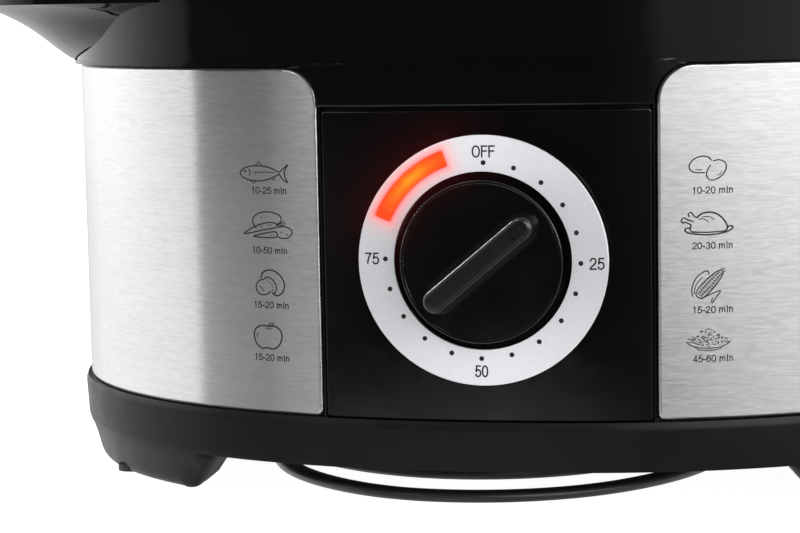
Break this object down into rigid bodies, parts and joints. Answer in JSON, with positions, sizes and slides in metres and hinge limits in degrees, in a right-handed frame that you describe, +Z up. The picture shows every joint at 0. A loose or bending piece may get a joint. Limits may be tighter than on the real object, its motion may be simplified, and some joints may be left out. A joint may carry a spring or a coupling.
{
  "type": "electric food steamer",
  "caption": "Oval electric food steamer: steel-clad base with timer knob, water basin with side filling mouths, drip tray, two clear stacking baskets and a domed lid.",
  "frame": {"origin": "centre of the steel-clad body's oval plan, on the surface that the feet stand on", "axes": "+X to the right along the long side, -Y to the front with the knob, +Z up"},
  "size_m": [0.3692, 0.2993, 0.348],
  "materials": {
    "gloss_black": "glossy moulded black",
    "satin_black": "satin moulded black",
    "brushed_steel": "fine horizontal brushing",
    "dial_silver": "satin silver white",
    "amber_lens": "translucent, lit from behind",
    "lamp_glass": "neon lamp",
    "white_nylon": "natural nylon",
    "cast_aluminium": "cast and coated",
    "sheath_steel": "drawn sheath",
    "seal_silicone": "moulded silicone",
    "zinc_steel": "zinc plated",
    "wire_white": "silicone sleeved wire",
    "black_rubber": "moulded rubber",
    "cord_black": "flat pvc cord",
    "plated_brass": "nickel plated",
    "brass_gear": "turned brass",
    "clear_plastic": "clear moulded, slightly smoky"
  },
  "bodies": {
    "base": {"base_skirt": "satin_black", "foot_pads": "black_rubber", "bottom_plate": "satin_black", "bottom_screws": "zinc_steel", "body_shell": "gloss_black", "water_basin": "gloss_black", "steel_panel_left": "brushed_steel", "steel_panel_right": "brushed_steel", "front_panel": "gloss_black", "dial_ring": "dial_silver", "indicator_lens": "amber_lens", "indicator_lamp": "lamp_glass", "lamp_holder": "white_nylon", "heater_plate": "cast_aluminium", "heating_element": "sheath_steel", "heater_seal": "seal_silicone", "heater_screws": "zinc_steel", "thermostat": "sheath_steel", "thermal_fuse": "white_nylon", "timer_housing": "zinc_steel", "timer_bell": "zinc_steel", "timer_screws": "zinc_steel", "terminal_block": "white_nylon", "internal_wiring": "wire_white", "cord_clamp": "satin_black", "strain_relief": "black_rubber", "power_cord": "cord_black", "plug_body": "cord_black", "plug_pins": "plated_brass"},
    "knob_assembly": {"knob": "gloss_black", "timer_shaft": "zinc_steel", "timer_drive_gear": "brass_gear"},
    "pinion": {"timer_pinion": "brass_gear"},
    "steam_sleeve": {"steam_ring": "satin_black"},
    "tray": {"drip_tray": "satin_black"},
    "lower_basket": {"basket_lower": "clear_plastic", "basket_lower_floor": "satin_black"},
    "upper_basket": {"basket_upper": "clear_plastic", "basket_upper_floor": "satin_black"},
    "lid_assembly": {"lid": "clear_plastic", "lid_handle": "gloss_black", "lid_screws": "zinc_steel"}
  },
  "joints": [
    {"name": "knob_turn", "type": "hinge", "parent": "base", "child": "knob_assembly", "pos_m": [0, -0.125, 0.0747], "axis": [0, 1, 0], "range_deg": [-50, 220]},
    {"name": "pinion_spin", "type": "hinge", "parent": "base", "child": "pinion", "pos_m": [0.01372, -0.1, 0.08842], "axis": [0, 1, 0], "range_deg": [-670, 160]},
    {"name": "steam_sleeve_lift", "type": "slide", "parent": "base", "child": "steam_sleeve", "axis": [0, 0, 1], "range_m": [0, 0.06]},
    {"name": "tray_lift", "type": "slide", "parent": "steam_sleeve", "child": "tray", "axis": [0, 0, 1], "range_m": [0, 0.06]},
    {"name": "lower_basket_lift", "type": "slide", "parent": "tray", "child": "lower_basket", "axis": [0, 0, 1], "range_m": [0, 0.1]},
    {"name": "upper_basket_lift", "type": "slide", "parent": "lower_basket", "child": "upper_basket", "axis": [0, 0, 1], "range_m": [0, 0.1]},
    {"name": "lid_lift", "type": "slide", "parent": "upper_basket", "child": "lid_assembly", "axis": [0, 0, 1], "range_m": [0, 0.12]}
  ],
  "couplings": [
    {"joint": "pinion_spin", "follows": "knob_turn", "ratio": -3}
  ]
}
